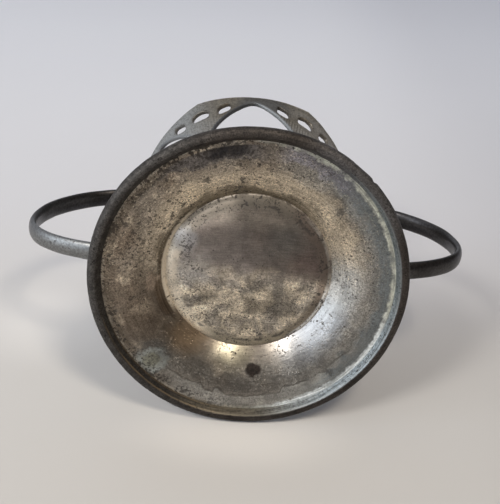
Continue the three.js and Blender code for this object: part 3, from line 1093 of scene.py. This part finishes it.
def foot_lines(f):
    """Pale line inside the ring, near white at the lower right as a painted highlight; a painted reflection
    and a dark seam line left of the neck.
    """
    start = f.x(-5, 22, 39.55, 38.95)
    line = (f.radius + (f.cloud(1.8, 4) - 0.5) * 2.2 - start)(-0.3, 0.6)
    # Painted highlight: the pale line turns near white at the lower right
    f.bright = f.x(0, 14) * f.y(4, 14)
    cover = f.cloud(3.5, 4)(0.36, 0.56, 0.3, 1) | f.bright * 0.95
    f.line = line * cover * f.x(-30, -12, 0.7, 1)
    pale = f.mix(f.x(-10, 20), (0.48, 0.435, 0.37), (0.8, 0.83, 0.74))
    pale = f.mix(f.bright, pale, (0.93, 0.98, 1.0))
    pale = f.mottled(f.mottled(pale, f.spun(0.5, 9), 1.0, 0.6, 1.2), f.fine, 0.6, 0.7, 1.2)
    f.lay(pale, f.line * 0.9)
    west = f.x(-13, -19)
    # Painted reflection: the flare's edge left of the neck takes the colour of the window's reflection on
    # the disc's left border
    f.annex = f.radius(24.7, 24.1) * west * f.y(16, 8)
    f.lay((0.62, 0.555, 0.455), f.annex * 0.95)
    # A dark, patchy line round the neck at the left, stronger above
    seam = abs(f.radius + (f.cloud(1.5, 4) - 0.5) * 1.2 - 24.85)(0.6, 0.05)
    seam_darkening = f.y(8, -4, 0.25, 0.65) * f.cloud(2, 4)(0.38, 0.58, 0.3, 1)
    f.lay((0.07, 0.055, 0.04), seam * west * seam_darkening)


def foot_pits(f):
    chain_pits = f.pits(0.8, 0.19, 5, 5) * f.radius(36.6, 38.2) * f.x(6, -14)
    neck_pits = f.pits(0.7, 0.08, 4, 11) * f.radius(29, 25) * f.low
    deep_pits = f.pits(1.5, 0.1, 7, 13) * (1 - f.low) * f.x(12, -4, 0.3, 1)
    specks = f.pits(0.6, 0.085, 6) | f.pits(1.1, 0.045, 9, 2)
    specks = specks * f.calm(0.35, 1, 0.3, 1)
    f.specks = specks | chain_pits | neck_pits | deep_pits * 0.9
    f.lay(SOOT, f.specks * 0.85)


def foot_finish():
    f = Finish("tarnished_foot")
    layers = [foot_noise, foot_ground, foot_neck, foot_rim, foot_grain, foot_stains, foot_lines, foot_pits]
    for layer in layers:
        layer(f)
    dull = f.specks | f.spot | f.marks | f.dark | f.annex * 0.9 | f.line * f.bright * 0.6
    f.shader.inputs["Specular IOR Level"].default_value = 0.12
    rough = f.large(0.3, 0.7, 0.3, 0.38) + f.fine * 0.12 - f.calm(1, 0.35, 0, 0.1) + dull * 0.3
    height = (f.fine * 0.5 + f.grain * 0.35) * f.calm - f.specks * 0.8
    return f.done(dull(0, 1, 0.95, 0.15), rough, height, 0.06)


def pan_ground(f):
    """Dull metal, brushed above and mottled below."""
    f.patch = f.cloud(3, 5, 0.62)
    f.fine = f.cloud(0.65, 3, 0.65)
    f.grain = f.cloud(0.34, 2, 0.6)
    f.low = (f.y + f.cloud(7, 3) * 8)(-1, 9)
    # Darker towards the upper right, with dark patches there: partly tarnish, partly a painted dark
    # reflection
    slanted = f.x - f.y * 0.5
    f.colour = f.mix(slanted(-18, 20), (0.3, 0.268, 0.25), (0.13, 0.113, 0.102))
    f.lay((0.18, 0.154, 0.138), f.cloud(12, 4, 0.55, warp=0.4)(0.42, 0.62) * 0.5)
    f.lay((0.155, 0.112, 0.102), f.blotch((17, -2, 8), 9, 0.5, 0.8) * 0.6)
    f.lay((0.115, 0.115, 0.11), f.blotch((9, -11, 8), 8, 0.5, 0.8) * 0.5)
    f.lay((0.31, 0.275, 0.235), f.y(-12, -18) * 0.7)
    clouds = f.cloud(6.5, 4, 0.55, warp=0.5)(0.42, 0.58)
    ground = f.mix(clouds, (0.29, 0.262, 0.224), (0.56, 0.49, 0.39))
    f.lay(f.shade(ground, f.x(0, 12, 1, 1.4) | f.x(-4, -12, 1, 1.25)), f.low)
    f.mottle(f.cloud(0.5, 3, 0.6, f.moved(stretch=(0.12, 1.4, 1), turn=(0, 0, 0.06))), 0.7, 0.85, 1.15)
    f.frost = f.blotch((-16, 0, 8), 8, 0.6, 0.8)
    f.lay((0.44, 0.425, 0.41), f.frost * 0.6)


def pan_border_finish(f):
    """Soft border, creamy at the left as a painted reflection and brown at the right, a painted highlight
    arc, pale rims that are partly painted highlight, and soft darker and lighter places.
    """
    f.border = (f.radius + (f.patch - 0.5) * 2)(19, 20.8)
    f.west = f.x(-7, -14) * f.y(-16, -4)
    edge = f.mix(f.y(-10, 10), (0.14, 0.124, 0.104), (0.36, 0.315, 0.24))
    edge = f.mix(f.x(8, 16) * f.y(14, 4, 0.5, 0.9), edge, (0.13, 0.102, 0.088))
    # Painted reflection: the left border is creamy where it mirrors the window
    crescent_reflection_colour = f.mix(f.y(5, 14), (0.68, 0.605, 0.5), (0.95, 0.86, 0.71))
    f.lay(f.mix(f.west, edge, crescent_reflection_colour), f.border * 0.9)
    # Painted reflection: a bluish-white patch of window light at the upper left of the border
    f.lay((0.62, 0.63, 0.665), f.blotch((-18.5, -9.5, 8), 5, 0.4, 0.8) * 0.5)
    # Painted highlight: a light arc along the upper left of the disc
    lit = f.radius(11, 20.5) * f.x(-1, -8) * f.y(-9.5, -16) * f.radius(22.8, 21.8) * f.under
    f.tone(lit(0, 1, 1, 2.2) * f.patch(0.3, 0.55, 0.88, 1))
    # Painted reflection and highlight: pale rims on the disc's right border copy the neck's reflection of
    # the window
    f.lay((0.33, 0.312, 0.29), f.radius(22.1, 22.6) * f.x(13, 19) * f.patch(0.36, 0.56, 0.3, 0.9))
    f.bright_rim = f.radius(21.9, 22.6) * f.x(11, 16) * f.y(0, 8) * f.under
    f.lay((0.8, 0.8, 0.8), f.bright_rim * 0.9)
    f.lay((0.42, 0.375, 0.325), f.radius(22.95, 23.15) * f.x(-15, -8) * f.patch(0.4, 0.58, 0, 0.8))
    for centre, size, factor in PAN_SHADES:
        f.tone((f.blotch(centre, size, 0.4, 0.9) * f.under)(0, 1, 1, factor))


def pan_grain(f):
    f.calm = f.low(0, 1, 0.35, 1) * f.border(0, 1, 1, 0.35)
    worn = f.blotch((-11.5, 11.5, 8), 7, 0.5, 0.8) | f.patch(0.5, 0.66, 0, 0.7)
    f.mottle(f.patch, f.calm, 0.74, 1.28)
    f.mottle(f.fine, f.calm * worn(0, 1, 0.6, 1.5), 0.74, 1.3)
    f.mottle(f.grain, f.calm, 0.7, 1.34)


def pan_dirt(f):
    """Pits, dirt in the crease inside the border, and scratches."""
    rims = f.radius(18, 20.5) * (f.y(4, -14) | f.x(10, 16))
    sides = f.blotch((-18.6, -7, 8), 6, 0.6, 0.8) | rims
    places = sides | f.frost | f.low * 0.9
    specks = f.pits(0.55, 0.12, 4) * places | f.pits(1, 0.1, 5, 7) * sides
    f.specks = specks | f.pits(0.7, 0.03, 6, 3)
    f.lay(SOOT, f.specks * 0.85)
    dirty = f.most(f.y(10, 18), *(f.blotch(centre, size, 0.7, 0.6) for centre, size in PAN_CRUSTS))
    crease = abs(f.radius - f.cloud(3, 4) * 2.4 - (PAN_CREASE - 1.2))
    f.dirt = crease(0.8, 0.1) * f.patch(0.44, 0.56) * dirty
    f.lay(SOOT, f.dirt * 0.8)
    f.marks = f.scratches(0.5) | f.scratches(-0.7, 9, 0.07, 0.03, 2) | f.scratches(1.9, 12, 0.08, 0.03, 5)
    f.lay(SOOT, f.marks * 0.3)


def pan_finish():
    f = Finish("scratched_pan")
    for layer in (pan_ground, pan_border_finish, pan_grain, pan_dirt):
        layer(f)
    dull = f.specks | f.dirt | f.border * (1 - f.west) * 0.5 | f.bright_rim
    rough = f.low(0, 1, 0.36, 0.42) + f.fine * 0.1 + dull * 0.3
    height = (f.fine * 0.5 + f.grain * 0.35) * f.calm - (f.specks * 0.8 + f.marks * 0.4)
    return f.done(dull(0, 1, 0.95, 0.4), rough, height, 0.06)


def ring_finish():
    f = Finish("blackened_ring")
    large = f.cloud(9, 4, 0.55)
    fine = f.cloud(0.8, 4, 0.7)
    grain = f.cloud(0.4, 2, 0.6)
    turning = f.spun(0.28, 9)
    f.colour = f.mix(large(0.38, 0.62), (0.07, 0.061, 0.055), (0.05, 0.043, 0.039))
    f.lay((0.075, 0.07, 0.066), f.x(-8, -24) * 0.8)
    f.lay((0.14, 0.135, 0.138), f.x(10, 20) * f.y(-12, -24) * 0.7)
    f.tone(f.y(14, 32, 1, 0.72))
    f.mottle(f.cloud(1.8, 4, 0.62), f.x(4, -16, 0.5, 1), 0.72, 1.24)
    f.mottle(fine, 0.6)
    f.mottle(grain, 0.7, 0.7, 1.3)
    slope = f.radius(41.7, 41.2) * f.z(2.7, 2.4)
    # The silver of the slope, kept to its lower right and lighter and bluer there, is partly smooth metal
    # and partly a painted reflection of the window
    bare_and_sheen = slope * (f.x + f.y * 0.6)(-4, 22)
    silver = f.mix(f.x(2, 26), (0.128, 0.115, 0.092), (0.258, 0.288, 0.308))
    silver = f.shade(silver, f.y(-4, 10, 1, 1.1))
    silver = f.mottled(f.mottled(silver, turning, 1.0, 0.6, 1.4), fine, 0.6)
    f.lay(silver, bare_and_sheen * fine(0.3, 0.5, 0.75, 1))
    edges = f.radius(40.55, 40.3) | abs(f.radius - 41.3)(0.2, 0.08)
    lines = edges * slope * f.y(8, 22) * f.x(8, -8) * turning(0.36, 0.54, 0.2, 1)
    f.lay((0.24, 0.18, 0.115), lines * 0.8)
    edge_colour = f.mix(f.x(4, 20), (0.175, 0.162, 0.13), (0.34, 0.36, 0.36))
    f.lay(edge_colour, edges * bare_and_sheen * f.cloud(3, 4)(0.36, 0.52, 0.25, 1) * 0.85)
    specks = f.pits(0.6, 0.07, 5, 4)
    f.lay((0.015, 0.013, 0.012), specks * 0.7)
    metallic = fine(0.3, 0.7, 0.75, 0.95)
    rough = large(0.3, 0.7, 0.5, 0.58) + fine * 0.14
    height = (fine * 0.6 + grain * 0.35) * bare_and_sheen(0, 1, 1, 0.4) - specks * 0.8
    return f.done(metallic, rough - bare_and_sheen * 0.2, height, 0.08)


def gallery_finish():
    f = Finish("satin_gallery")
    large = f.cloud(14, 4, 0.55)
    patch = f.cloud(3.2, 5, 0.6)
    fine = f.cloud(0.7, 4, 0.7)
    f.colour = f.mix(large(0.38, 0.62), (0.25, 0.218, 0.168), (0.19, 0.162, 0.12))
    f.lay((0.27, 0.24, 0.19), patch(0.52, 0.7) * 0.5)
    f.lay((0.34, 0.315, 0.28), f.z(63, 56) * 0.7)
    # Painted light: the wall is lighter where it turns away to either side
    lit_flank_colour = f.mix(f.x(-12, 12), (0.39, 0.4, 0.395), (0.48, 0.445, 0.39))
    f.lay(lit_flank_colour, abs(f.x)(9, 25) * 0.8)
    f.lay((0.12, 0.115, 0.11), f.blotch((3, -35, 67), 12, 0.25, 0.6) * 0.8)
    f.mottle(fine, 0.6)
    specks = f.pits(0.8, 0.06, 6, 6)
    f.lay(SOOT, specks * 0.8)
    # Painted highlight: a warm light line along the rim
    f.lay((0.52, 0.46, 0.36), f.z(71, 71.6) * f.x(0, 12, 0.25, 0.8))
    cut = f.painted("arch_cut")
    # Lit and shaded copies: the cut edges are painted light where they face the window at -X and painted
    # shade elsewhere
    f.lay(f.mix(f.painted("cut_bare"), (0.105, 0.11, 0.12), (0.34, 0.352, 0.36)), cut * 0.95)
    grime = f.painted("hole_dirt") * patch(0.25, 0.5, 0.3, 0.6)
    f.lay(SOOT, grime)
    metallic = (specks | grime)(0, 1, 0.95, 0.4)
    rough = large(0.3, 0.7, 0.34, 0.44) + fine * 0.1 + (cut | grime) * 0.14
    return f.done(metallic, rough, fine * 0.5 - specks * 0.8, 0.05)


def handle_finish():
    f = Finish("dark_handle")
    large = f.cloud(9, 4, 0.55)
    fine = f.cloud(0.7, 4, 0.7)
    f.colour = f.mix(large(0.38, 0.62), (0.075, 0.071, 0.072), (0.051, 0.048, 0.047))
    # Painted light: the near arm of the left handle, which faces the window, is painted lighter
    window_lit_arm = f.x(10, -20) * f.z(40, 24)
    f.lay((0.21, 0.212, 0.212), window_lit_arm)
    f.mottle(fine, 0.5)
    specks = f.pits(0.7, 0.06, 6, 8)
    f.lay(SOOT, specks * 0.8)
    rough = large(0.3, 0.7, 0.26, 0.33) + fine * 0.08 + window_lit_arm * 0.06
    height = fine * 0.4 - specks * 0.8
    return f.done(specks(0, 1, 0.95, 0.4), rough, height, 0.03)


def solder_finish():
    f = Finish("soft_solder")
    large = f.cloud(3, 5, 0.6)
    fine = f.cloud(0.5, 5, 0.7)
    f.colour = f.mix(large(0.35, 0.65), (0.26, 0.255, 0.24), (0.15, 0.138, 0.12))
    rough = large(0.3, 0.7, 0.45, 0.6) + fine * 0.12
    return f.done(fine(0.3, 0.7, 0.7, 0.95), rough, fine, 0.06)


# The object

def build_holder():
    ring = turned(ring_profile(), ring_wear)
    metal_object("foot_ring", *ring, ring_finish(), "dark_ring", ["foot_rim_ring"])
    foot = turned(flare_profile(), flare_wear)
    metal_object("flared_foot", *foot, foot_finish(), "foot_metal", ["foot_flare"])
    pan = turned(pan_profile(), pan_wear, closed=False)
    metal_object("floor_dish", *pan, pan_finish(), "pan_metal", ["floor_pan"])
    *wall, shares = gallery_mesh()
    wall.append(gallery_finish())
    metal_object("pierced_gallery", *wall, "gallery_metal", ["gallery_wall"], GALLERY_MERGE, shares)
    handle = handle_finish()
    solder = solder_finish()
    for side, post in zip(("right", "left"), HANDLE_POSTS):
        turn = post * POST_ANGLE
        metal_object(f"rod_handle_{side}", *handle_mesh(turn), handle, "handle_metal", [f"handle_{side}"])
        for seed, (place, root) in enumerate((("upper", UPPER_ROOT), ("lower", LOWER_ROOT))):
            fillet = solder_mesh(root, turn, seed + 3 * turn)
            metal_object(f"fillet_{side}_{place}", *fillet, solder, "solder", [f"solder_{side}_{place}"])


# The stage: the photograph's floor lies along the holder's back, where it lies on its side

def floor_frame():
    """Point on the floor under the foot, floor normal, and the way along the floor towards the camera."""
    bead = RING_HEIGHT / 2
    ring = Vector((0, FOOT_RADIUS - bead, bead))
    rim = Vector((0, RIM_RADIUS - FACET_DEPTH, HEIGHT))
    along = (ring - rim).normalized()
    normal = Vector((0, along.z, -along.y)).normalized()
    if normal.y > 0:
        normal = -normal
    lean = math.asin(bead / (ring - rim).length)
    turn = Matrix.Rotation(lean, 3, "X")
    normal = turn @ normal
    along = turn @ along
    return ring - normal * (bead + FLOOR_CLEARANCE), normal, along


FLOOR_POINT, UP, NEAR = floor_frame()
RIGHT = Vector((1, 0, 0))
AIM = Vector((0, 0, 30))

# Lamps: name, place right, up and near of the holder and size in millimetres, power and colour
LAMPS = (
    ("window", (-583, 193, 337), (560, 480), 2.2, (0.84, 0.92, 1.0)),
    ("lamp_right", (175, 630, 380), (150, 150), 2.2, (1.0, 0.9, 0.76)),
    ("lamp_left", (-365, 517, 425), (150, 150), 2.1, (1.0, 0.95, 0.88)),
)
SKY_DARK = (0.09, 0.08, 0.075)
SKY_LIGHT = (0.58, 0.6, 0.64)
SKY_LIGHT_FROM = (UP * 0.15 - RIGHT * 0.75 - NEAR * 0.65).normalized()


def floor_finish():
    f = Finish("pale_floor")
    drift = f.z + f.cloud(120, 3, 0.5) * 40
    # Painted shade: the floor is darker and warmer towards the camera, and darker to the right
    f.colour = f.mix(drift(-120, 500), (0.54, 0.52, 0.495), (0.965, 0.98, 1.0))
    f.tone(f.x(50, 150, 1, 0.88))
    # Painted light: a lighter patch on the floor just in front of the foot, as light thrown back off the
    # metal
    f.tone(f.blotch(FLOOR_POINT + NEAR * 5, 24, 0.05, 1, (0.5, 1, 1))(0, 1, 1, 1.2))
    # Painted light: a lighter patch at the left that lifts the shadow there
    f.tone(f.blotch((-64, 39, 46), 36, 0.05, 1)(0, 1, 1, 1.17))
    f.put(f.shader.inputs["Base Color"], f.colour)
    f.shader.inputs["Roughness"].default_value = 0.8
    f.shader.inputs["Specular IOR Level"].default_value = 0.2
    # Painted light: the floor glows faintly blue to camera and glossy rays, more further back
    seen = f.out("ShaderNodeLightPath", "Is Camera Ray") | f.out("ShaderNodeLightPath", "Is Glossy Ray")
    f.shader.inputs["Emission Color"].default_value = (0.42, 0.5, 1.0, 1)
    f.put(f.shader.inputs["Emission Strength"], seen * drift(20, 160, 0.01, 0.07))
    back = f.out("ShaderNodeNewGeometry", "Backfacing")
    clear = f.out("ShaderNodeBsdfTransparent", "BSDF")
    both = f.out("ShaderNodeMixShader", 0, back, Value(f, f.shader.outputs["BSDF"]), clear)
    f.put(f.tree.nodes["Material Output"].inputs["Surface"], both)
    return f.material


def build_floor():
    corners = [(-1, -1), (1, -1), (1, 1), (-1, 1)]
    points = [FLOOR_POINT + RIGHT * a * FLOOR_REACH + NEAR * b * FLOOR_REACH for a, b in corners]
    mesh = bpy.data.meshes.new("floor")
    mesh.from_pydata([p * MM for p in points], [], [(0, 1, 2, 3)])
    mesh.update()
    if mesh.polygons[0].normal.dot(UP) < 0:
        mesh.flip_normals()
    mesh.materials.append(floor_finish())
    floor = bpy.data.objects.new("floor", mesh)
    bpy.context.scene.collection.objects.link(floor)


def add_lamp(name, place, size, power, colour):
    """A lamp that faces the holder."""
    data = bpy.data.lights.new(name, "AREA")
    data.shape = "RECTANGLE"
    data.size, data.size_y = (s * MM for s in size)
    data.energy = power
    data.color = colour
    lamp = bpy.data.objects.new(name, data)
    across, up, near = place
    away = RIGHT * across + UP * up + NEAR * near
    lamp.location = (AIM + away) * MM
    lamp.rotation_euler = away.to_track_quat("Z", "Y").to_euler()
    bpy.context.scene.collection.objects.link(lamp)


def build_light():
    for lamp in LAMPS:
        add_lamp(*lamp)
    world = bpy.data.worlds.new("studio")
    world.use_nodes = True
    bpy.context.scene.world = world
    nodes = Nodes(world.node_tree)
    direction = nodes.out("ShaderNodeTexCoord", "Generated")
    towards = nodes.out("ShaderNodeVectorMath", "Value", direction, SKY_LIGHT_FROM, operation="DOT_PRODUCT")
    sky = nodes.tree.nodes["Background"]
    nodes.put(sky.inputs["Color"], nodes.mix(towards(-0.6, 0.9), SKY_DARK, SKY_LIGHT))
    nodes.put(sky.inputs["Strength"], 1)


def build_camera():
    tilt, yaw, roll = (math.radians(a) for a in (TILT, YAW, ROLL))
    out = Vector((math.sin(yaw) * math.cos(tilt), math.sin(tilt), -math.cos(tilt) * math.cos(yaw)))
    out.normalize()
    up = Vector((0, -1, 0))
    up = (up - out * up.dot(out)).normalized()
    right = up.cross(out)
    part_up = up * math.cos(roll) + right * math.sin(roll)
    part_right = right * math.cos(roll) - up * math.sin(roll)
    view_to_part = Matrix((part_right, -part_up, -out))
    data = bpy.data.cameras.new("camera")
    data.sensor_width = SENSOR
    data.lens = FOCAL * SENSOR / IMAGE_HEIGHT
    data.clip_start = CLIP_START
    camera = bpy.data.objects.new("camera", data)
    turn = view_to_part @ Matrix(((1, 0, 0), (0, -1, 0), (0, 0, -1)))
    camera.matrix_world = Matrix.Translation(view_to_part @ -FOOT_IN_CAMERA * MM) @ turn.to_4x4()
    bpy.context.scene.collection.objects.link(camera)
    bpy.context.scene.camera = camera


build_camera()
build_holder()
build_floor()
build_light()
bpy.context.scene.view_settings.view_transform = "Standard"
